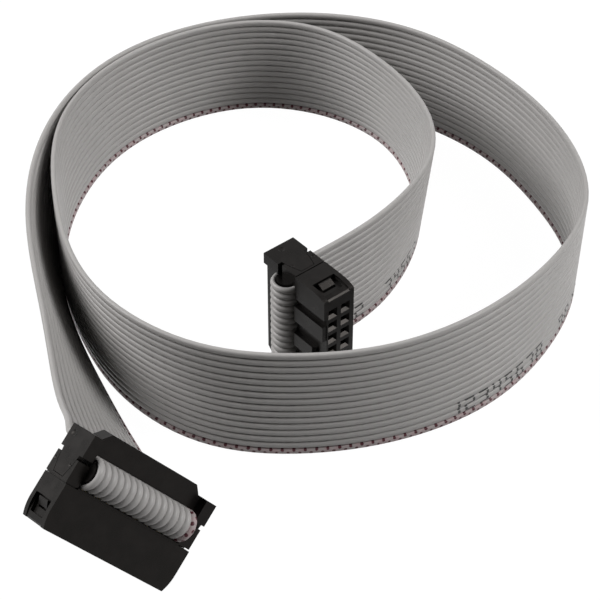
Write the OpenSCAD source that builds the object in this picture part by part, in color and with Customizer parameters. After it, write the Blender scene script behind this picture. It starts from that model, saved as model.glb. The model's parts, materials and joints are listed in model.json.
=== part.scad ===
// Sixteen-way ribbon cable, lying in an open coil of about two turns, with a
// crimped-on socket at each end. One socket stands on its end face inside the
// coil, and the other leans on its corner outside it. The ribbon stands on its
// edge. All sizes are in millimetres.
//
// Each connector is drawn in a frame of its own: X runs along the connector,
// Y across it towards the side where the ribbon folds back, and Z up from the
// mating face. place_a() and place_b() then lay it beside the coil.

/* [Ribbon] */
// Spacing of the conductors
pitch = 1.27; // [1.2:0.01:1.6]
// Thickness over the ridges
ribbon_t = 0.9; // [0.8:0.02:1.2]
// Thickness of the web between two ridges
web_t = 0.4; // [0.3:0.02:0.6]
// Diameter of each stranded conductor
wire_d = 0.38; // [0.3:0.01:0.5]
// Radius of the fold in the connector, at the middle of the ribbon
fold_r = 2.1; // [1.7:0.05:3]
// Size of the coil in plan
coil_scale = 1; // [0.85:0.01:1.5]

/* [Connectors] */
// Length of each end block beyond the ribbon
end_l = 2.3; // [2:0.05:4]
// Width across the connector
body_w = 6; // [5.8:0.1:9]
// Height of the socket body
body_h = 6.9; // [6.4:0.1:10]
// Height of the cover's end blocks above the socket body
cover_end_h = 3.5; // [2.5:0.1:3.9]
// Height of the strain relief's arms
arm_h = 3.5; // [2.5:0.1:6]
// Width of the strain relief's bar
bar_w = 2.6; // [1.6:0.1:4]
// Thickness of the contacts' strip
strip_t = 0.3; // [0.2:0.02:0.4]

/* [Fits] */
// Gap between parts that fit together
fit_gap = 0.03; // [0.02:0.01:0.08]
// Gap at each edge of the ribbon
edge_gap = 0.14; // [0.1:0.02:0.4]

/* [Hidden] */
$fn = 48;
// Overlap of solids that are joined, and overshoot of cuts
lap = 0.2;
over = 1;

// Ribbon
conductors = 16;
ribbon_w = conductors * pitch;
lobe_rise = (ribbon_t - web_t) / 2;
lobe_r = (pitch * pitch / 4 + lobe_rise * lobe_rise) / (2 * lobe_rise);
lead_out = 1;
seam = 0.01;
bore_d = wire_d + 2 * seam;
edge_bevel = 0.2;

// Connector, along its length
grid = 2 * pitch;
inner_l = ribbon_w / 2 + edge_gap;
half_l = inner_l + end_l;
nose_in = 0.65;
nose_h = 3;
nose_r = (nose_h * nose_h + nose_in * nose_in) / (2 * nose_in);
arm_x = inner_l + 0.3;
tongue_x = half_l - 0.9;

// Connector, across its width
half_w = body_w / 2;
fold_y = half_w - 0.6;
key_floor_y = half_w - 0.55;

// Connector, up from the mating face
seat_z = body_h + 0.3;
low_z = seat_z + ribbon_t / 2;
fold_z = low_z + fold_r;
top_z = fold_z + fold_r;
slab_r = fold_r - ribbon_t / 2 - fit_gap;
cover_z = body_h + 0.2;
cover_top_z = body_h + cover_end_h;
arm_z = top_z - 0.75;
arm_top_z = arm_z + arm_h;
bar_top_z = arm_top_z + 1.25;
bar_side_z = arm_top_z - 0.1;
bar_flat_x = inner_l - 1.5;

// Contacts and their cavities
mouth_w = 0.69 * grid;
hole_w = 0.95;
mouth_d = 0.45;
cavity_z = 1;
cavity_l = 1.7;
cavity_w = 1.5;
beam_top_z = 5.4;
fork_half = 0.49 * pitch;
fork_tip_z = seat_z + ribbon_t + 1.2;

// Cover legs, and the latch windows that they show in
leg_x = inner_l + 0.65;
leg_t = 0.7;
leg_w = 2.4;
leg_tip_z = 2.45;
hook_x = half_l - 0.15;
hook_z = 3.6;
window_top = 2.15;
window_foot_z = 1.1;
window_top_z = hook_z + 0.25;

// Where the connectors lie: each one's turn, and its place in the coil's plan
turn_a = [29, -49, 195];
turn_b = [0, 90, 130];
place_in_plan_a = coil_scale * [-29.4, -65.8, 0];
place_in_plan_b = coil_scale * [6, -26.7, 0];

// The ribbon's route from connector b to connector a: x, y and z of its middle, and
// how many degrees its top edge leans to the left of the way it runs. It makes about
// two turns, with the inner one first.
ROUTE = [
    [13.5, -5.5, 12.5, 2], [22.5, 12, 12, -8], [22, 29, 10.7, -3], [16, 44.5, 10.2, 8],
    [4, 55, 10.2, 0], [-11, 57, 10.2, 2], [-25.5, 50.5, 10.2, 1], [-36, 40, 10.2, -2],
    [-42, 25, 10.2, -5], [-42, 7.5, 10.2, 2], [-37, -11.5, 10.2, -4], [-29, -25, 10.2, -1],
    [-15.5, -35, 10.2, 4], [0, -36.5, 10.2, 4], [15.5, -34, 10.2, 2], [30, -26, 10.2, 5],
    [40.5, -14, 10.2, 1], [47.5, -0.5, 10.2, -2], [48, 13, 10.2, -1], [43, 27.5, 10.2, -3],
    [35, 41, 10.2, 1], [22.5, 52.5, 10.2, -4], [7, 58.5, 10.2, -2], [-11.5, 58.5, 10.2, 3],
    [-29, 50.5, 10.2, 2], [-40, 36.5, 10.2, -1], [-44.5, 18.5, 10.2, -6], [-43, -3, 11.4, -13],
    [-36.5, -23, 10.8, -22], [-32, -36, 9, -34], [-28, -46.5, 11.7, -40]];
// Lean of the ribbon as it enters connector a, and how far back it runs straight
end_lean = -37;
end_run = 2;
// Height of the ribbon's middle in the route where it stands on its edge, and its gap to the floor
coil_z = 10.2;
floor_gap = 0.06;

function two_digits(i) = str(i < 10 ? "0" : "", i);
function contact_name(side, i) = str("contact_", side, "_", two_digits(i));

// ---- Placing the connectors ----

function about_x(a) = [[1, 0, 0], [0, cos(a), -sin(a)], [0, sin(a), cos(a)]];
function about_y(a) = [[cos(a), 0, sin(a)], [0, 1, 0], [-sin(a), 0, cos(a)]];
function about_z(a) = [[cos(a), -sin(a), 0], [sin(a), cos(a), 0], [0, 0, 1]];
function turned(r) = about_z(r.z) * about_y(r.y) * about_x(r.x);

// The outermost points of a connector, as half length, half width and height
outer_points = [
    [half_l - nose_in, half_w, 0], [half_l, half_w, nose_h], [half_l, half_w, arm_top_z],
    [bar_flat_x, bar_w / 2, bar_top_z]];
function outline(r, at) = [
    for (p = outer_points, sx = [-1, 1], sy = [-1, 1]) at + turned(r) * [sx * p.x, sy * p.y, p.z]];
// Lifted so that its lowest point is on the floor
function stood(r, at) = at - [0, 0, min([for (p = outline(r, at)) p.z])];

stood_a = stood(turn_a, place_in_plan_a);
stood_b = stood(turn_b, place_in_plan_b);
both = concat(outline(turn_a, stood_a), outline(turn_b, stood_b));
// The origin is on the floor, in the middle of the two connectors together
origin = [
    (min([for (p = both) p.x]) + max([for (p = both) p.x])) / 2,
    (min([for (p = both) p.y]) + max([for (p = both) p.y])) / 2,
    0];
at_a = stood_a - origin;
at_b = stood_b - origin;

module place_a() { translate(at_a) rotate(turn_a) children(); }
module place_b() { translate(at_b) rotate(turn_b) children(); }

// Draws a flat shape of x and z, centred across the width
module across(w) { rotate([90, 0, 0]) linear_extrude(w, center = true) children(); }
// Draws a flat shape of y and z, centred along the length
module along(l) { rotate([90, 0, 90]) linear_extrude(l, center = true) children(); }

// ---- Contacts ----

// Odd conductors go to the row on the fold's side, and even ones to the other row
function row_y(i) = i % 2 == 1 ? pitch : -pitch;
function wire_x(i) = (i - (conductors + 1) / 2) * pitch;
function fork_offset(i) = i % 2 == 1 ? -pitch / 2 : pitch / 2;
function contact_x(i) = wire_x(i) - fork_offset(i);

// Two beams that grip a pin, joined at the top
module beams() {
    pin_gap = 0.33;
    beam_t = 0.2;
    half = 0.75;
    side = [[half, beam_top_z], [half, 3.4], [pin_gap + beam_t, 2.1], [half - 0.03, 1.3], [0.56, 1.2],
        [pin_gap, 2.1], [half - beam_t, 3.4], [half - beam_t, 4.6]];
    other = [for (k = [len(side) - 1:-1:0]) [-side[k].x, side[k].y]];
    across(0.7) polygon(concat(side, other));
}

// A fork that pierces the web on both sides of a conductor
module fork() {
    slot = wire_d / 2 + seam;
    tip = (slot + fork_half) / 2;
    shoulder_z = fork_tip_z - 0.4;
    side = [[fork_half, beam_top_z - lap], [fork_half, shoulder_z], [tip, fork_tip_z],
        [slot, shoulder_z], [slot, body_h]];
    other = [for (k = [len(side) - 1:-1:0]) [-side[k].x, side[k].y]];
    across(strip_t) polygon(concat(side, other));
}

module contact(i) {
    color("darkgoldenrod") translate([contact_x(i), row_y(i), 0]) {
        beams();
        translate([fork_offset(i), 0, 0]) fork();
    }
}

// ---- Socket body ----

// The ends curve in towards the mating face
module body_block() {
    across(body_w) {
        translate([-half_l, nose_h]) square([2 * half_l, body_h - nose_h]);
        translate([nose_r - half_l, 0]) square([2 * (half_l - nose_r), body_h]);
        for (s = [-1, 1]) intersection() {
            translate([s * (half_l - nose_r), nose_h]) circle(nose_r);
            translate([-half_l, 0]) square([2 * half_l, nose_h + lap]);
        }
    }
}

// A ridge that keys the socket into its header
module side_key(x) {
    w = 3;
    stand = 0.25;
    foot = 0.1;
    translate([x - w / 2, key_floor_y - lap, foot])
        cube([w, half_w + stand - key_floor_y + lap, body_h - foot]);
}

module centre_key() {
    w = 2.6;
    y = half_w + 0.3;
    foot = 2;
    bevel = 0.5;
    along(w) polygon([[key_floor_y - lap, foot], [y - bevel, foot], [y, foot + bevel],
        [y, body_h], [key_floor_y - lap, body_h]]);
}

// A square mouth that narrows to the hole for the pin
module mouth() {
    edge = [[-mouth_w / 2, -over], [mouth_w / 2, -over], [mouth_w / 2, 0],
        [hole_w / 2, mouth_d], [-hole_w / 2, mouth_d], [-mouth_w / 2, 0]];
    intersection() {
        across(grid) polygon(edge);
        along(grid) polygon(edge);
    }
    translate([-hole_w / 2, -hole_w / 2, mouth_d - lap]) cube([hole_w, hole_w, cavity_z]);
}

// The room for one contact, open at the top for its fork
module cavity(i) {
    fork_l = 2 * (fork_half + fit_gap);
    fork_w = strip_t + 2 * fit_gap;
    translate([contact_x(i), row_y(i), 0]) {
        mouth();
        translate([-cavity_l / 2, -cavity_w / 2, cavity_z]) cube([cavity_l, cavity_w, body_h + over]);
        translate([fork_offset(i) - fork_l / 2, -fork_w / 2, beam_top_z - lap - fit_gap])
            cube([fork_l, fork_w, body_h]);
    }
}

// The slot for the cover's leg, and the window where its hook shows
module latch_window() {
    side_gap = 0.05;
    front_gap = 0.1;
    tip_gap = 0.3;
    slot_w = leg_w + 2 * side_gap;
    window_foot = 1.7;
    translate([leg_x - side_gap, -slot_w / 2, leg_tip_z - tip_gap])
        cube([side_gap + leg_t + front_gap, slot_w, body_h + over]);
    translate([leg_x + leg_t, 0, 0]) rotate([90, 0, 90]) linear_extrude(end_l)
        polygon([[-window_foot, window_foot_z], [window_foot, window_foot_z],
            [window_top, window_top_z], [-window_top, window_top_z]]);
}

// Sets the end face back below the window, down to a bevelled lip at the mating face
module end_panel() {
    lip = 0.25;
    panel_in = 0.45;
    edge_x = half_l - nose_in;
    across(2 * window_top) polygon([[edge_x - lip, -over], [edge_x - lip, 0], [edge_x, lip],
        [half_l - panel_in, window_foot_z], [half_l - panel_in, window_top_z],
        [half_l + over, window_top_z], [half_l + over, -over]]);
}

module socket_body() {
    seat_in = 0.1;
    key_recess_x = 8.25;
    side_key_x = 5.4;
    color("#1d1d20") difference() {
        union() {
            difference() {
                body_block();
                translate([-key_recess_x, key_floor_y, -over])
                    cube([2 * key_recess_x, over, body_h + 2 * over]);
            }
            for (s = [-1, 1]) side_key(s * side_key_x);
            centre_key();
            // The seat that the ribbon is pressed down on
            translate([-inner_l, seat_in - half_w, body_h - lap])
                cube([2 * inner_l, key_floor_y + half_w - 2 * seat_in, seat_z - fit_gap - body_h + lap]);
        }
        for (i = [1:conductors]) cavity(i);
        for (s = [0, 1]) mirror([s, 0, 0]) {
            latch_window();
            end_panel();
        }
    }
}

// ---- Cover ----

// A round ejector mark, cut down into a face at z = 0
module mark(d) {
    depth = 0.12;
    run = 2.3 * depth;
    floor_d = d - 2 * run;
    translate([0, 0, -depth]) cylinder(d1 = floor_d, d2 = floor_d + 4 * run, h = 2 * depth);
}

// The tongue's outline on the end face: full size at the arm, and narrow at its tip
module tongue_shape(gap) {
    tip_z = cover_z + 0.4;
    bend_z = (arm_z + tip_z) / 2;
    half = [0.76 * half_w + gap, 0.62 * half_w + gap, 0.42 * half_w + gap];
    polygon([[-half[2], tip_z - gap], [half[2], tip_z - gap], [half[1], bend_z], [half[0], arm_z + lap],
        [-half[0], arm_z + lap], [-half[1], bend_z]]);
}

// The catch inside the tongue, with its flat side up
catch_z = (cover_z + cover_top_z) / 2;
catch_h = 0.5;
catch_in = 0.25;
catch_w = 1.6;

// Its hook slopes in towards the tip, and its flat side is up
module cover_leg() {
    flat = 0.2;
    foot = 0.25;
    front_x = leg_x + leg_t;
    across(leg_w) polygon([[leg_x, leg_tip_z], [front_x + foot, leg_tip_z], [hook_x, hook_z - flat],
        [hook_x, hook_z], [front_x, hook_z], [front_x, cover_z + lap], [leg_x, cover_z + lap]]);
}

module cover_end(land_in) {
    front_in = 0.3;
    catch_gap = 0.05;
    tongue_gap = 0.08;
    mark_d = 0.7;
    mark_at = [half_l, 0.55 - half_w, cover_top_z - 1.25];
    difference() {
        union() {
            translate([inner_l, -half_w, cover_z]) cube([end_l, body_w - front_in, cover_top_z - cover_z]);
            // Joins the end block to the bar
            translate([inner_l - lap, -half_w, fold_z - slab_r])
                cube([2 * lap, half_w + fold_y, cover_top_z - fold_z + slab_r]);
            // The land that bears on the socket body, set back from the outside
            translate([inner_l + fit_gap, land_in - half_w, body_h + fit_gap])
                cube([end_l - fit_gap - land_in, body_w - front_in - 2 * land_in, cover_z - body_h]);
            cover_leg();
        }
        translate([tongue_x - fit_gap + over, 0, 0]) along(2 * over) tongue_shape(tongue_gap);
        translate([tongue_x - catch_in, -catch_w / 2, catch_z - catch_h] - catch_gap * [1, 1, 1])
            cube([catch_in, catch_w, catch_h] + 2 * catch_gap * [1, 1, 1]);
        translate(mark_at) rotate([0, 90, 0]) mark(mark_d);
    }
}

module cover() {
    pocket_l = 2 * (fork_half + fit_gap);
    pocket_w = strip_t + 2 * fit_gap;
    color("#1b1b1e") difference() {
        union() {
            // The bar that the ribbon folds around
            along(2 * inner_l) {
                translate([-half_w, fold_z - slab_r]) square([half_w + fold_y, 2 * slab_r]);
                translate([fold_y, fold_z]) circle(slab_r);
            }
            // The slit under the end block is deep at one end and shallow at the other
            cover_end(0.15);
            mirror([1, 0, 0]) cover_end(0.5);
        }
        for (i = [1:conductors])
            translate([wire_x(i) - pocket_l / 2, row_y(i) - pocket_w / 2, seat_z])
                cube([pocket_l, pocket_w, fork_tip_z + fit_gap - seat_z]);
    }
}

// ---- Strain relief ----

module tongue() {
    translate([(tongue_x + half_l) / 2, 0, 0]) along(half_l - tongue_x) tongue_shape(0);
    across(catch_w) polygon([[tongue_x + lap, catch_z - catch_h - lap], [tongue_x + lap, catch_z],
        [tongue_x - catch_in, catch_z], [tongue_x, catch_z - catch_h]]);
}

module strain_relief() {
    slope = bar_top_z - bar_side_z + lap;
    bar_z = top_z + ribbon_t / 2 + fit_gap;
    // Ejector marks: a large one on each arm, and a small one on each tongue
    large_mark = 1.1;
    left_mark_at = [-half_l, 0.3, arm_top_z - 1.1];
    right_mark_at = [half_l, -1.7, arm_top_z - 1.2];
    small_mark = 0.65;
    small_mark_z = arm_z - 1.8;
    color("#1f1f22") difference() {
        union() {
            across(bar_w) {
                translate([-arm_x - lap, bar_z]) square([2 * (arm_x + lap), bar_side_z - bar_z]);
                polygon([[-bar_flat_x - slope, bar_top_z - slope], [bar_flat_x + slope, bar_top_z - slope],
                    [bar_flat_x, bar_top_z], [-bar_flat_x, bar_top_z]]);
            }
            for (s = [0, 1]) mirror([s, 0, 0]) {
                translate([arm_x, -half_w, arm_z]) cube([half_l - arm_x, body_w, arm_h]);
                tongue();
            }
        }
        translate(left_mark_at) rotate([0, -90, 0]) mark(large_mark);
        translate(right_mark_at) rotate([0, 90, 0]) mark(large_mark);
        for (s = [-1, 1])
            translate([s * half_l, half_w / 2, small_mark_z]) rotate([0, s * 90, 0]) mark(small_mark);
    }
}

// ---- Ribbon in the connectors ----

// Sixteen ridges side by side, each the lens between two arcs
module ribbon_section() {
    intersection() {
        square([ribbon_w, ribbon_t], center = true);
        for (i = [1:conductors]) translate([wire_x(i), 0]) intersection() {
            translate([0, lobe_r - ribbon_t / 2]) circle(lobe_r);
            translate([0, ribbon_t / 2 - lobe_r]) circle(lobe_r);
        }
    }
}

// Runs a flat shape of x and thickness from the cut end, round the fold and out at the back
module through_fold() {
    translate([0, fold_y, low_z]) rotate([90, 0, 0]) linear_extrude(fold_y + half_w) children();
    translate([0, fold_y, fold_z]) rotate([0, 90, 0])
        rotate_extrude(angle = 180) translate([fold_r, 0]) rotate(90) children();
    translate([0, fold_y, top_z]) rotate([90, 0, 0]) linear_extrude(fold_y + half_w + lead_out) children();
}

module ribbon_end() {
    window_l = 2 * (fork_half + fit_gap);
    window_w = strip_t + 2 * fit_gap;
    color("#929294") difference() {
        through_fold() ribbon_section();
        for (i = [1:conductors]) {
            translate([wire_x(i), 0, 0]) through_fold() circle(d = bore_d);
            translate([wire_x(i) - window_l / 2, row_y(i) - window_w / 2, seat_z - over])
                cube([window_l, window_w, ribbon_t + 2 * over]);
        }
    }
}

module conductors() {
    color("silver") for (i = [1:conductors])
        translate([wire_x(i), 0, 0]) through_fold() circle(d = wire_d);
}

// ---- Ribbon between the connectors ----

function unit(v) = v / norm(v);

// Where the ribbon leaves a connector
function way_out(r, at, gap) = at + turned(r) * [0, -half_w - lead_out - gap, top_z];
way_in = turned(turn_a) * [0, 1, 0];
start = way_out(turn_b, at_b, seam);
finish = way_out(turn_a, at_a, seam);

// The route's heights follow the ribbon's width, so that it stands on its edge
lift = ribbon_w / 2 - coil_z + floor_gap;
middle = [for (p = ROUTE) [coil_scale * p.x - origin.x, coil_scale * p.y - origin.y, p.z + lift, p[3]]];
before_end = finish - end_run * way_in;
controls = concat([[each start, 0]], middle, [[each before_end, end_lean], [each finish, end_lean]]);
last = len(controls) - 1;
spline = concat([2 * controls[0] - controls[1]], controls, [2 * controls[last] - controls[last - 1]]);

// A cubic B-spline's point and direction, u of the way from control i to the next
function spline_point(i, u) = (
    pow(1 - u, 3) * spline[i - 1] + (3 * pow(u, 3) - 6 * u * u + 4) * spline[i]
    + (-3 * pow(u, 3) + 3 * u * u + 3 * u + 1) * spline[i + 1] + pow(u, 3) * spline[i + 2]) / 6;
function spline_way(i, u) = (
    -pow(1 - u, 2) * spline[i - 1] + (3 * u * u - 4 * u) * spline[i]
    + (-3 * u * u + 2 * u + 1) * spline[i + 1] + u * u * spline[i + 2]) / 2;
function xyz(v) = [v.x, v.y, v.z];

// A ring is its middle, the way up its width, and the way through its thickness
function ring_at(p, way, lean) =
    let(t = unit(way), up = unit([0, 0, 1] - t.z * t), left = cross(up, t),
        width = up * cos(lean) + left * sin(lean))
    [p, width, cross(t, width)];
function ring_on_spline(i, u) =
    let(p = spline_point(i, u)) ring_at(xyz(p), xyz(spline_way(i, u)), p[3]);

steps = 2;
first_ring = [start, turned(turn_b) * [-1, 0, 0], turned(turn_b) * [0, 0, -1]];
last_ring = [finish, turned(turn_a) * [1, 0, 0], turned(turn_a) * [0, 0, -1]];
rings = concat(
    [first_ring],
    [for (i = [1:last], k = [0:steps - 1]) if (i > 1 || k > 0) ring_on_spline(i, k / steps)],
    [last_ring]);

// A flat tube with its long edges bevelled
module ribbon() {
    a = ribbon_w / 2;
    b = ribbon_t / 2;
    c = edge_bevel;
    half = [[a, c - b], [a, b - c], [a - c, b], [c - a, b]];
    section = concat(half, -half);
    n = len(section);
    count = len(rings);
    points = [for (r = rings, s = section) r[0] + s.x * r[1] + s.y * r[2]];
    sides = [for (k = [0:count - 2], j = [0:n - 1]) let(m = (j + 1) % n)
        each [[k * n + j, k * n + m, k * n + n + m], [k * n + j, k * n + n + m, k * n + n + j]]];
    near_cap = [for (j = [n - 1:-1:0]) j];
    far_cap = [for (j = [0:n - 1]) (count - 1) * n + j];
    color("#929294") polyhedron(points, concat(sides, [near_cap], [far_cap]));
}

// The socket body of connector a is fitted the other way round, with its keys away from the fold
place_a() rotate([0, 0, 180]) socket_body();  // socket_body_a
place_b() socket_body();  // socket_body_b
place_a() cover();  // cover_a
place_b() cover();  // cover_b
place_a() strain_relief();  // strain_relief_a
place_b() strain_relief();  // strain_relief_b
ribbon();
place_a() ribbon_end();  // ribbon_end_a
place_b() ribbon_end();  // ribbon_end_b
place_a() conductors();  // conductors_a
place_b() conductors();  // conductors_b
for (i = [1:conductors]) {
    place_a() contact(i);
    place_b() contact(i);
}
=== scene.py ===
"""Looks of a sixteen-way ribbon cable that lies in an open coil, with a socket on each end.

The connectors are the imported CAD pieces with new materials. The ribbon is one ridged mesh, swept
along the same route as the CAD ribbon and folded into both connectors. All sizes are in metres.
"""

import json
import math

import bpy
import numpy as np
from mathutils import Euler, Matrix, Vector


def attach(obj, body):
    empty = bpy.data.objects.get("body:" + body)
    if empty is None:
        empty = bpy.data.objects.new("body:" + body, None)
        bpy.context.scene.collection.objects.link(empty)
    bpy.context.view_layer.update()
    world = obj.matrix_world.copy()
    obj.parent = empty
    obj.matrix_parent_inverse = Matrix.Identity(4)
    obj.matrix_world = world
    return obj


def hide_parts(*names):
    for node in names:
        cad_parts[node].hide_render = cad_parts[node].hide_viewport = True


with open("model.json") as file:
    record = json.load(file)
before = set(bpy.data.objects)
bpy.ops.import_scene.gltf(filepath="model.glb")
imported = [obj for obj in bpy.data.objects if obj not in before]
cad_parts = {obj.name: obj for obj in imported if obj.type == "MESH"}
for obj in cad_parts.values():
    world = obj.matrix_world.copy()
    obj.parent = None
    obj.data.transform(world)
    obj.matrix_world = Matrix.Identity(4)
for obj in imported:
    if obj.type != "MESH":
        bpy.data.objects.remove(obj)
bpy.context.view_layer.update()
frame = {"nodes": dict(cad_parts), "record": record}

MM = 0.001

# ---- Sizes that the CAD model also has ----

PITCH = 1.27 * MM
WIRES = 16
RIBBON_T = 0.9 * MM
FOLD_R = 2.1 * MM
HALF_W = 3 * MM
SEAT_Z = 7.2 * MM
LEAD_OUT = 1 * MM
FOLD_Y = HALF_W - 0.6 * MM
LOW_Z = SEAT_Z + RIBBON_T / 2
FOLD_Z = LOW_Z + FOLD_R
TOP_Z = FOLD_Z + FOLD_R

# How each connector is turned, and where it lies
MOUNTS = {m["name"]: m for m in frame["record"]["mounts"]}
TURN_A = Euler([math.radians(v) for v in (29, -49, 195)]).to_matrix()
TURN_B = Euler([math.radians(v) for v in (0, 90, 130)]).to_matrix()
AT_A = Vector(MOUNTS["pins_a"]["pos_m"])
AT_B = Vector(MOUNTS["pins_b"]["pos_m"])
# The zero of the coil's plan, seen from connector b, and the lift of the route's heights
PLAN_FROM_B = Vector((-6, 26.7)) * MM
LIFT = 0.02 * MM
PLAN = Vector((AT_B.x + PLAN_FROM_B.x, AT_B.y + PLAN_FROM_B.y, LIFT))

# The ribbon's route from connector b to connector a: its middle, and the lean of its top edge in degrees
ROUTE = [
    (0.0135, -0.0055, 0.0125, 2), (0.0225, 0.012, 0.012, -8), (0.022, 0.029, 0.0107, -3),
    (0.016, 0.0445, 0.0102, 8), (0.004, 0.055, 0.0102, 0), (-0.011, 0.057, 0.0102, 2),
    (-0.0255, 0.0505, 0.0102, 1), (-0.036, 0.04, 0.0102, -2), (-0.042, 0.025, 0.0102, -5),
    (-0.042, 0.0075, 0.0102, 2), (-0.037, -0.0115, 0.0102, -4), (-0.029, -0.025, 0.0102, -1),
    (-0.0155, -0.035, 0.0102, 4), (0.0, -0.0365, 0.0102, 4), (0.0155, -0.034, 0.0102, 2),
    (0.03, -0.026, 0.0102, 5), (0.0405, -0.014, 0.0102, 1), (0.0475, -0.0005, 0.0102, -2),
    (0.048, 0.013, 0.0102, -1), (0.043, 0.0275, 0.0102, -3), (0.035, 0.041, 0.0102, 1),
    (0.0225, 0.0525, 0.0102, -4), (0.007, 0.0585, 0.0102, -2), (-0.0115, 0.0585, 0.0102, 3),
    (-0.029, 0.0505, 0.0102, 2), (-0.04, 0.0365, 0.0102, -1), (-0.0445, 0.0185, 0.0102, -6),
    (-0.043, -0.003, 0.0114, -13), (-0.0365, -0.023, 0.0108, -22), (-0.032, -0.036, 0.009, -34),
    (-0.028, -0.0465, 0.0117, -40)]
# Lean of the ribbon as it enters connector a, and how far back it runs straight
END_LEAN = -37
END_RUN = 2 * MM


# ---- Camera ----

def make_camera():
    """The camera stands in front of the coil and looks down on it."""
    distance = 0.3294
    elevation = math.radians(41.45)
    data = bpy.data.cameras.new("camera")
    data.sensor_width = 36
    data.lens = 115.26
    data.clip_start = 0.01
    data.clip_end = 20
    camera = bpy.data.objects.new("camera", data)
    camera.location = Vector((PLAN.x, PLAN.y, 0)) + distance * Vector(
        (0, -math.cos(elevation), math.sin(elevation)))
    camera.rotation_euler = (math.pi / 2 - elevation, 0, 0)
    bpy.context.scene.collection.objects.link(camera)
    bpy.context.scene.camera = camera


make_camera()


# ---- The ribbon's line ----

def spline(controls, steps):
    """Points of a uniform cubic B-spline that starts and ends on its first and last control."""
    c = np.array(controls, float)
    c = np.vstack([2 * c[0] - c[1], c, 2 * c[-1] - c[-2]])
    u = (np.arange(steps) / steps)[:, None]
    parts = []
    for i in range(1, len(c) - 2):
        parts.append((
            (1 - u) ** 3 * c[i - 1] + (3 * u ** 3 - 6 * u ** 2 + 4) * c[i]
            + (-3 * u ** 3 + 3 * u ** 2 + 3 * u + 1) * c[i + 1] + u ** 3 * c[i + 2]) / 6)
    return np.vstack(parts + [c[-2][None]])


def evenly(points, gap):
    """The same line with its points about gap apart."""
    steps = np.linalg.norm(np.diff(points[:, :3], axis=0), axis=1)
    far = np.r_[0, np.cumsum(steps)]
    at = np.linspace(0, far[-1], int(round(far[-1] / gap)) + 1)
    return np.stack([np.interp(at, far, points[:, k]) for k in range(points.shape[1])], 1)


def units(v):
    return v / np.linalg.norm(v, axis=-1, keepdims=True)


def in_connector(turn, at, points, widths, ways):
    """Rings given in a connector's own frame, in the row's frame."""
    r = np.array(turn)
    return np.array(points) @ r.T + np.array(at), np.array(widths) @ r.T, np.array(ways) @ r.T


def folded(turn, at, width_sign):
    """Rings from the cut end, round the fold and out at the back of a connector."""
    arc = 16
    run = 3
    # The cut end is set back a little from the connector's side
    cut_in = 0.03 * MM
    points = [(0, y, LOW_Z) for y in np.linspace(-HALF_W + cut_in, FOLD_Y, run)]
    ways = [(0, 1, 0)] * run
    for k in range(1, arc + 1):
        a = math.pi * k / arc
        points.append((0, FOLD_Y + FOLD_R * math.sin(a), FOLD_Z - FOLD_R * math.cos(a)))
        ways.append((0, math.cos(a), math.sin(a)))
    for y in np.linspace(FOLD_Y, -HALF_W - LEAD_OUT, run + 1)[1:]:
        points.append((0, y, TOP_Z))
        ways.append((0, -1, 0))
    return in_connector(turn, at, points, [(width_sign, 0, 0)] * len(points), ways)


def free_line():
    """Rings of the stretch between the connectors."""
    ring_gap = 2.2 * MM
    spline_steps = 24
    way_out = Vector((0, -HALF_W - LEAD_OUT, TOP_Z))
    out_b = AT_B + TURN_B @ way_out
    out_a = AT_A + TURN_A @ way_out
    into_a = TURN_A @ Vector((0, 1, 0))
    controls = [(*out_b, 0)]
    controls += [(x + PLAN.x, y + PLAN.y, z + PLAN.z, lean) for x, y, z, lean in ROUTE]
    controls += [(*(out_a - END_RUN * into_a), END_LEAN), (*out_a, END_LEAN)]
    line = evenly(spline(controls, spline_steps), ring_gap)
    points = line[:, :3]
    ways = units(np.gradient(points, axis=0))
    up = units(np.array([0, 0, 1]) - ways * ways[:, 2:])
    left = np.cross(up, ways)
    lean = np.radians(line[:, 3:])
    return points, up * np.cos(lean) + left * np.sin(lean), ways


def ribbon_rings():
    """Every ring of the ribbon, from the cut end in connector b to the one in connector a."""
    start = folded(TURN_B, AT_B, -1)
    end = folded(TURN_A, AT_A, 1)
    free = free_line()
    in_fold = [True] * len(start[0]) + [False] * (len(free[0]) - 2) + [True] * len(end[0])
    # The free stretch meets both connectors squarely, so its first and last rings are theirs
    return [np.vstack([s, f[1:-1], e[::-1] * sign])
            for s, f, e, sign in zip(start, free, end, (1, 1, -1))] + [np.array(in_fold)]


POINTS, WIDTHS, WAYS, IN_FOLD = ribbon_rings()
THICKS = np.cross(WAYS, WIDTHS)
# The face away from the middle of the coil
OUTER = 1
ALONG = np.r_[0, np.cumsum(np.linalg.norm(np.diff(POINTS, axis=0), axis=1))]


# ---- The ribbon's mesh ----

# The width of a groove's floor in pitches, and the facets of a ridge
GROOVE_W = 0.15
FACETS = 8
# Thickness left at the bottom of a groove, and how square a ridge is, where 2 is a plain ellipse:
# the grooves open up where the ribbon is folded
FREE = (0.16 * MM, 2.3)
FOLDED = (0.12 * MM, 1.7)


def half_thickness(across, style=FREE):
    """Half the ribbon's thickness at a distance from its marked edge, in pitches."""
    groove_t, squareness = style
    off = np.abs(across % 1 - 0.5) / (0.5 - GROOVE_W / 2)
    crown = np.clip(1 - off ** squareness, 0, 1) ** (1 / squareness)
    return (groove_t + (RIBBON_T - groove_t) * crown) / 2


def section():
    """The outline of the ridged ribbon: places across its width, and half thicknesses free and folded."""
    turn = np.pi * np.arange(FACETS + 1) / FACETS
    ridge = 0.5 - (0.5 - GROOVE_W / 2) * np.cos(turn)
    across = (np.arange(WIRES)[:, None] + ridge).ravel()
    halves = [np.r_[half, -half[::-1]] for half in (half_thickness(across), half_thickness(across, FOLDED))]
    return np.r_[across, across[::-1]], *halves


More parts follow.
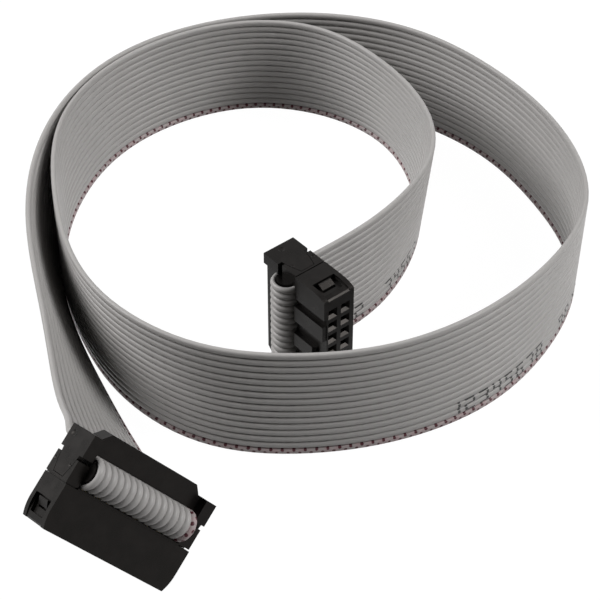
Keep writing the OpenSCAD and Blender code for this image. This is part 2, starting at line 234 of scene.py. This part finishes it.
def mesh_object(name, verts, faces, smooth=True):
    mesh = bpy.data.meshes.new(name)
    mesh.from_pydata([tuple(v) for v in verts], [], faces)
    mesh.validate()
    mesh.polygons.foreach_set("use_smooth", [smooth] * len(mesh.polygons))
    mesh.update()
    obj = bpy.data.objects.new(name, mesh)
    bpy.context.scene.collection.objects.link(obj)
    return obj


def add_attribute(mesh, name, values):
    mesh.attributes.new(name, "FLOAT", "POINT").data.foreach_set("value", np.asarray(values, np.float32))


# A plain digit is a path of strokes between these corners: three rows of two, from the top
CORNERS = {"a": (0, 6), "b": (4, 6), "c": (0, 3), "d": (4, 3), "e": (0, 0), "f": (4, 0)}
DIGITS = ("abfea", "bf", "abdcef", "abdcdfe", "acdbf", "bacdfe", "bacefdc", "abf", "abfeacd", "dcabfe")
# Where each printed group starts along the ribbon, and its digits
PRINTS = ((25.5 * MM, "12"), (36.7 * MM, "34567"), (270 * MM, "12345678"), (298.3 * MM, "9012"))


def digit_dots(digit):
    """The dots of one digit, on a grid of five by seven."""
    dots = set()
    path = [CORNERS[c] for c in DIGITS[int(digit)]]
    for (x0, y0), (x1, y1) in zip(path, path[1:]):
        count = max(abs(x1 - x0), abs(y1 - y0))
        dots |= {(x0 + (x1 - x0) * k // count, y0 + (y1 - y0) * k // count) for k in range(count + 1)}
    return sorted(dots)


def on_outer_face(along, across, lift):
    """Points on the ribbon's outer face, from the distance along it and across it in pitches."""
    line = [np.stack([np.interp(along, ALONG, v[:, k]) for k in range(3)], 1)
            for v in (POINTS, WIDTHS, THICKS)]
    place = (across - WIRES / 2) * PITCH
    return line[0] + place[:, None] * line[1] + (OUTER * (half_thickness(across) + lift))[:, None] * line[2]


def printed_digits():
    """Plain digits in small dots, as faces that lie just above the outer face."""
    step = 0.37 * MM
    dot_r = 0.29 * MM
    lift = 0.02 * MM
    # From one digit to the next, and from the marked edge to a digit's foot in pitches
    advance = 2.86 * MM
    foot = 1.3
    # A dot is a fan of triangles round its middle
    sides = 6
    turn = np.r_[0, np.arange(sides)] * 2 * math.pi / sides
    out = np.r_[0, np.full(sides, dot_r)]
    verts, faces = [], []
    for start, text in PRINTS:
        for k, digit in enumerate(text):
            for x, y in digit_dots(digit):
                at = start + k * advance + x * step
                up = foot + y * step / PITCH
                first = len(verts)
                verts += list(on_outer_face(at + out * np.cos(turn), up + out * np.sin(turn) / PITCH, lift))
                faces += [(first, first + 1 + j, first + 1 + (j + 1) % sides) for j in range(sides)]
    return np.array(verts), faces


def make_ribbon():
    """The ridged ribbon, with its printed dots as triangles and its places kept for the material."""
    across, free, folded_up = section()
    place = (across - WIRES / 2) * PITCH
    n = len(place)
    through = np.where(IN_FOLD[:, None], folded_up, free)
    verts = (POINTS[:, None] + place[None, :, None] * WIDTHS[:, None] + through[:, :, None] * THICKS[:, None])
    faces = []
    for k in range(len(POINTS) - 1):
        for j in range(n):
            m = (j + 1) % n
            faces.append((k * n + j, k * n + m, (k + 1) * n + m, (k + 1) * n + j))
    last = (len(POINTS) - 1) * n
    faces.append(tuple(range(n - 1, -1, -1)))
    faces.append(tuple(last + j for j in range(n)))
    verts = verts.reshape(-1, 3)
    dots, dot_faces = printed_digits()
    shift = len(verts)
    obj = mesh_object("ribbon_ridged", np.vstack([verts, dots]),
                      faces + [tuple(v + shift for v in face) for face in dot_faces])
    # The printed dots have a material of their own, which doesn't read these
    blank = np.zeros(len(dots))
    # The walls of a ridge meet the floors of its grooves at a sharp corner
    corner = np.tile(np.arange(n) % (FACETS + 1) % FACETS == 0, len(POINTS))
    ends = np.empty(2 * len(obj.data.edges), np.int32)
    obj.data.edges.foreach_get("vertices", ends)
    ends = ends.reshape(-1, 2)
    lengthwise = (ends.max(1) < shift) & ((ends[:, 1] - ends[:, 0]) % n == 0)
    sharp = lengthwise & corner[np.minimum(ends[:, 0], shift - 1)]
    obj.data.edges.foreach_set("use_edge_sharp", sharp)
    add_attribute(obj.data, "along", np.r_[np.repeat(ALONG / MM, n), blank])
    add_attribute(obj.data, "across", np.r_[np.tile(across, len(POINTS)), blank])
    return obj


ribbon = make_ribbon()
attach(ribbon, "root")
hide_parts("ribbon", "ribbon_end_a", "ribbon_end_b")
CONNECTOR_A = ["socket_body_a", "cover_a", "strain_relief_a", "conductors_a"]
CONNECTOR_A += [f"contact_a_{i:02d}" for i in range(1, WIRES + 1)]


# ---- Materials ----

class Nodes:
    """A material's node tree, with short ways to add to it."""

    def __init__(self, name):
        self.material = bpy.data.materials.new(name)
        self.material.use_nodes = True
        self.tree = self.material.node_tree
        self.shader = self.tree.nodes["Principled BSDF"]

    def add(self, kind, **sockets):
        node = self.tree.nodes.new(kind)
        for key, value in sockets.items():
            self.put(node.inputs[key.replace("_", " ")], value)
        return node

    def put(self, socket, value):
        if isinstance(value, bpy.types.NodeSocket):
            self.tree.links.new(value, socket)
        else:
            socket.default_value = value

    def set(self, **sockets):
        for key, value in sockets.items():
            self.put(self.shader.inputs[key.replace("_", " ")], value)

    def math(self, operation, *values):
        node = self.tree.nodes.new("ShaderNodeMath")
        node.operation = operation
        for socket, value in zip(node.inputs, values):
            self.put(socket, value)
        return node.outputs[0]

    def ramp(self, value, low, high, to_low=0.0, to_high=1.0):
        node = self.tree.nodes.new("ShaderNodeMapRange")
        node.interpolation_type = "SMOOTHSTEP"
        for socket, v in zip(node.inputs, (value, low, high, to_low, to_high)):
            self.put(socket, v)
        return node.outputs[0]

    def mix(self, factor, a, b):
        node = self.tree.nodes.new("ShaderNodeMix")
        node.data_type = "RGBA"
        self.put(node.inputs["Factor"], factor)
        self.put(node.inputs[6], a)
        self.put(node.inputs[7], b)
        return node.outputs[2]

    def noise(self, scale, detail=2.0, roughness=0.5):
        where = self.tree.nodes.new("ShaderNodeTexCoord").outputs["Object"]
        node = self.add("ShaderNodeTexNoise", Vector=where, Scale=scale, Detail=detail, Roughness=roughness)
        return node.outputs["Fac"]

    def attribute(self, name):
        node = self.tree.nodes.new("ShaderNodeAttribute")
        node.attribute_name = name
        return node.outputs["Fac"]

    def bump(self, height, distance, strength=1.0):
        node = self.add("ShaderNodeBump", Height=height, Distance=distance, Strength=strength)
        return node.outputs["Normal"]


def grey(v):
    return (v, v, v, 1)


def dot_distance(m, along, across, shift, row, period):
    """How far a point is from the nearest dot of one printed row, in millimetres."""
    turn = m.math("FRACT", m.math("ADD", m.math("DIVIDE", along, period), shift))
    x = m.math("MULTIPLY", m.math("SUBTRACT", turn, 0.5), period)
    y = m.math("MULTIPLY", m.math("SUBTRACT", across, row), PITCH / MM)
    return m.math("SQRT", m.math("ADD", m.math("MULTIPLY", x, x), m.math("MULTIPLY", y, y)))


def ribbon_material():
    """Grey vinyl, with the first conductor tinted and dotted dark red."""
    vinyl_colours = ((0.348, 0.336, 0.328, 1), (0.388, 0.376, 0.367, 1))
    pink_colours = ((0.40, 0.26, 0.27, 1), (0.36, 0.31, 0.31, 1))
    pink_share = 0.6
    dot_colour = (0.055, 0.007, 0.013, 1)
    # Two rows of dots, half a period apart: each one's shift in periods, and its place in pitches
    dot_rows = ((0.0, 0.37), (0.5, 0.8))
    # In millimetres
    period = 1.77
    dot_r = 0.27
    fuzz = 0.05
    most_wander = 0.35
    edge_wander = 0.3
    m = Nodes("grey_vinyl")
    along = m.attribute("along")
    across = m.attribute("across")
    wander = m.math("MULTIPLY", m.math("SUBTRACT", m.noise(1500), 0.5), most_wander)
    rows = [dot_distance(m, m.math("ADD", along, wander), across, shift, row, period)
            for shift, row in dot_rows]
    near = m.math("ADD", m.math("MINIMUM", *rows), m.math("MULTIPLY", wander, edge_wander))
    dots = m.ramp(near, dot_r - fuzz, dot_r + fuzz, 1.0, 0.0)
    marked = m.ramp(across, 0.92, 1.02, 1.0, 0.0)
    vinyl = m.mix(m.noise(180, 3), *vinyl_colours)
    pink = m.mix(m.ramp(m.noise(900), 0.35, 0.65), *pink_colours)
    tinted = m.mix(m.math("MULTIPLY", marked, pink_share), vinyl, pink)
    colour = m.mix(m.math("MULTIPLY", dots, marked), tinted, dot_colour)
    fine = m.bump(m.noise(5200, 2), 0.006 * MM)
    m.set(Base_Color=colour, Roughness=m.ramp(m.noise(700), 0.3, 0.7, 0.34, 0.44), Normal=fine)
    m.shader.inputs["Specular IOR Level"].default_value = 0.25
    return m.material


def ink_material():
    """Dark grey ink, a little patchy."""
    m = Nodes("grey_ink")
    m.set(Base_Color=m.mix(m.noise(2500), (0.012, 0.012, 0.012, 1), (0.04, 0.038, 0.036, 1)), Roughness=0.5)
    return m.material


def plastic_material():
    """Black moulded plastic with a fine grain."""
    m = Nodes("black_plastic")
    grain = m.noise(4200, 3, 0.6)
    mottle = m.noise(420, 4, 0.6)
    colour = m.mix(m.ramp(mottle, 0.35, 0.7), (0.0032, 0.0029, 0.0028, 1), (0.0062, 0.0055, 0.0052, 1))
    m.set(Base_Color=colour, Roughness=m.ramp(mottle, 0.3, 0.75, 0.26, 0.36),
          Normal=m.bump(grain, 0.005 * MM))
    m.shader.inputs["Specular Tint"].default_value = (1.0, 0.92, 0.86, 1)
    m.shader.inputs["Specular IOR Level"].default_value = 0.13
    return m.material


def contact_material():
    """Stamped strip, lightly rolled."""
    m = Nodes("contact_strip")
    streaks = m.noise(2600, 2)
    colour = m.mix(streaks, (0.66, 0.52, 0.28, 1), (0.78, 0.62, 0.34, 1))
    m.set(Base_Color=colour, Metallic=1.0, Roughness=m.ramp(streaks, 0.2, 0.8, 0.24, 0.4),
          Normal=m.bump(streaks, 0.004 * MM))
    return m.material


def wire_material():
    """Tinned copper strands."""
    m = Nodes("tinned_copper")
    strands = m.noise(9000, 1)
    colour = m.mix(strands, (0.6, 0.5, 0.42, 1), (0.82, 0.78, 0.72, 1))
    m.set(Base_Color=colour, Metallic=1.0, Roughness=0.32, Normal=m.bump(strands, 0.02 * MM))
    return m.material


def give(obj, *materials):
    obj.data.materials.clear()
    for material in materials:
        obj.data.materials.append(material)


def dress_connectors():
    """Gives every CAD node its material."""
    plastic = plastic_material()
    strip = contact_material()
    wire = wire_material()
    for name, obj in frame["nodes"].items():
        if name.startswith(("socket_body", "cover", "strain_relief")):
            give(obj, plastic)
        elif name.startswith("contact"):
            give(obj, strip)
        elif name.startswith("conductors"):
            give(obj, wire)
        else:
            give(obj, ribbon.data.materials[0])


give(ribbon, ribbon_material(), ink_material())
for face in ribbon.data.polygons:
    # Only the printed dots are triangles
    face.material_index = int(len(face.vertices) == 3)
dress_connectors()


# ---- Surroundings ----

def make_floor():
    """A white floor that keeps a soft shadow."""
    half_size = 3
    albedo = 0.42
    # What the camera and mirrors see is a white glow, with the lit floor and its shadow mixed in
    glow_strength = 1.1
    glow_share = 0.9
    corners = [(x * half_size, y * half_size, 0) for x, y in ((-1, -1), (1, -1), (1, 1), (-1, 1))]
    obj = mesh_object("floor", corners, [(0, 1, 2, 3)], smooth=False)
    m = Nodes("floor_white")
    m.set(Base_Color=grey(albedo), Roughness=0.9)
    m.shader.inputs["Specular IOR Level"].default_value = 0.0
    glow = m.add("ShaderNodeEmission", Color=grey(1), Strength=glow_strength)
    rays = m.tree.nodes.new("ShaderNodeLightPath")
    seen = m.math("MAXIMUM", rays.outputs["Is Camera Ray"], rays.outputs["Is Glossy Ray"])
    seen = m.math("MAXIMUM", seen, rays.outputs["Is Transmission Ray"])
    blend = m.add("ShaderNodeMixShader", Fac=m.math("MULTIPLY", seen, glow_share))
    m.tree.links.new(m.shader.outputs[0], blend.inputs[1])
    m.tree.links.new(glow.outputs[0], blend.inputs[2])
    out = m.tree.nodes["Material Output"]
    m.tree.links.new(blend.outputs[0], out.inputs["Surface"])
    give(obj, m.material)


def make_world():
    """White where the camera looks or a surface mirrors it, and a faint plain light elsewhere."""
    faint = 0.01
    white = 1.0
    world = bpy.data.worlds.new("world")
    world.use_nodes = True
    bpy.context.scene.world = world
    tree = world.node_tree
    back = tree.nodes["Background"]
    back.inputs["Color"].default_value = grey(1)
    rays = tree.nodes.new("ShaderNodeLightPath")
    seen = rays.outputs["Is Camera Ray"]
    for name in ("Is Glossy Ray", "Is Transmission Ray"):
        both = tree.nodes.new("ShaderNodeMath")
        both.operation = "MAXIMUM"
        tree.links.new(seen, both.inputs[0])
        tree.links.new(rays.outputs[name], both.inputs[1])
        seen = both.outputs[0]
    strength = tree.nodes.new("ShaderNodeMapRange")
    tree.links.new(seen, strength.inputs["Value"])
    strength.inputs["To Min"].default_value = faint
    strength.inputs["To Max"].default_value = white
    tree.links.new(strength.outputs[0], back.inputs["Strength"])


def add_lamp(name, way, power, size):
    """A soft square lamp that faces the coil."""
    away = 0.75
    aim_z = 0.01
    data = bpy.data.lights.new(name, "AREA")
    data.energy = power
    data.size = size
    obj = bpy.data.objects.new(name, data)
    aim = Vector((PLAN.x, PLAN.y, aim_z))
    obj.location = aim + away * Vector(way).normalized()
    obj.rotation_euler = (aim - obj.location).to_track_quat("-Z", "Y").to_euler()
    bpy.context.scene.collection.objects.link(obj)


make_floor()
make_world()
# Each lamp's way from the coil, its watts and its size
LAMPS = (
    ("key_light", (0.79, -0.15, 0.6), 4.0, 0.3),
    ("high_light", (0.5, 0.1, 0.86), 0.7, 0.14),
    ("left_light", (-0.78, 0.1, 0.62), 5.7, 0.4))
for lamp in LAMPS:
    add_lamp(*lamp)

bpy.context.scene.view_settings.view_transform = "Standard"
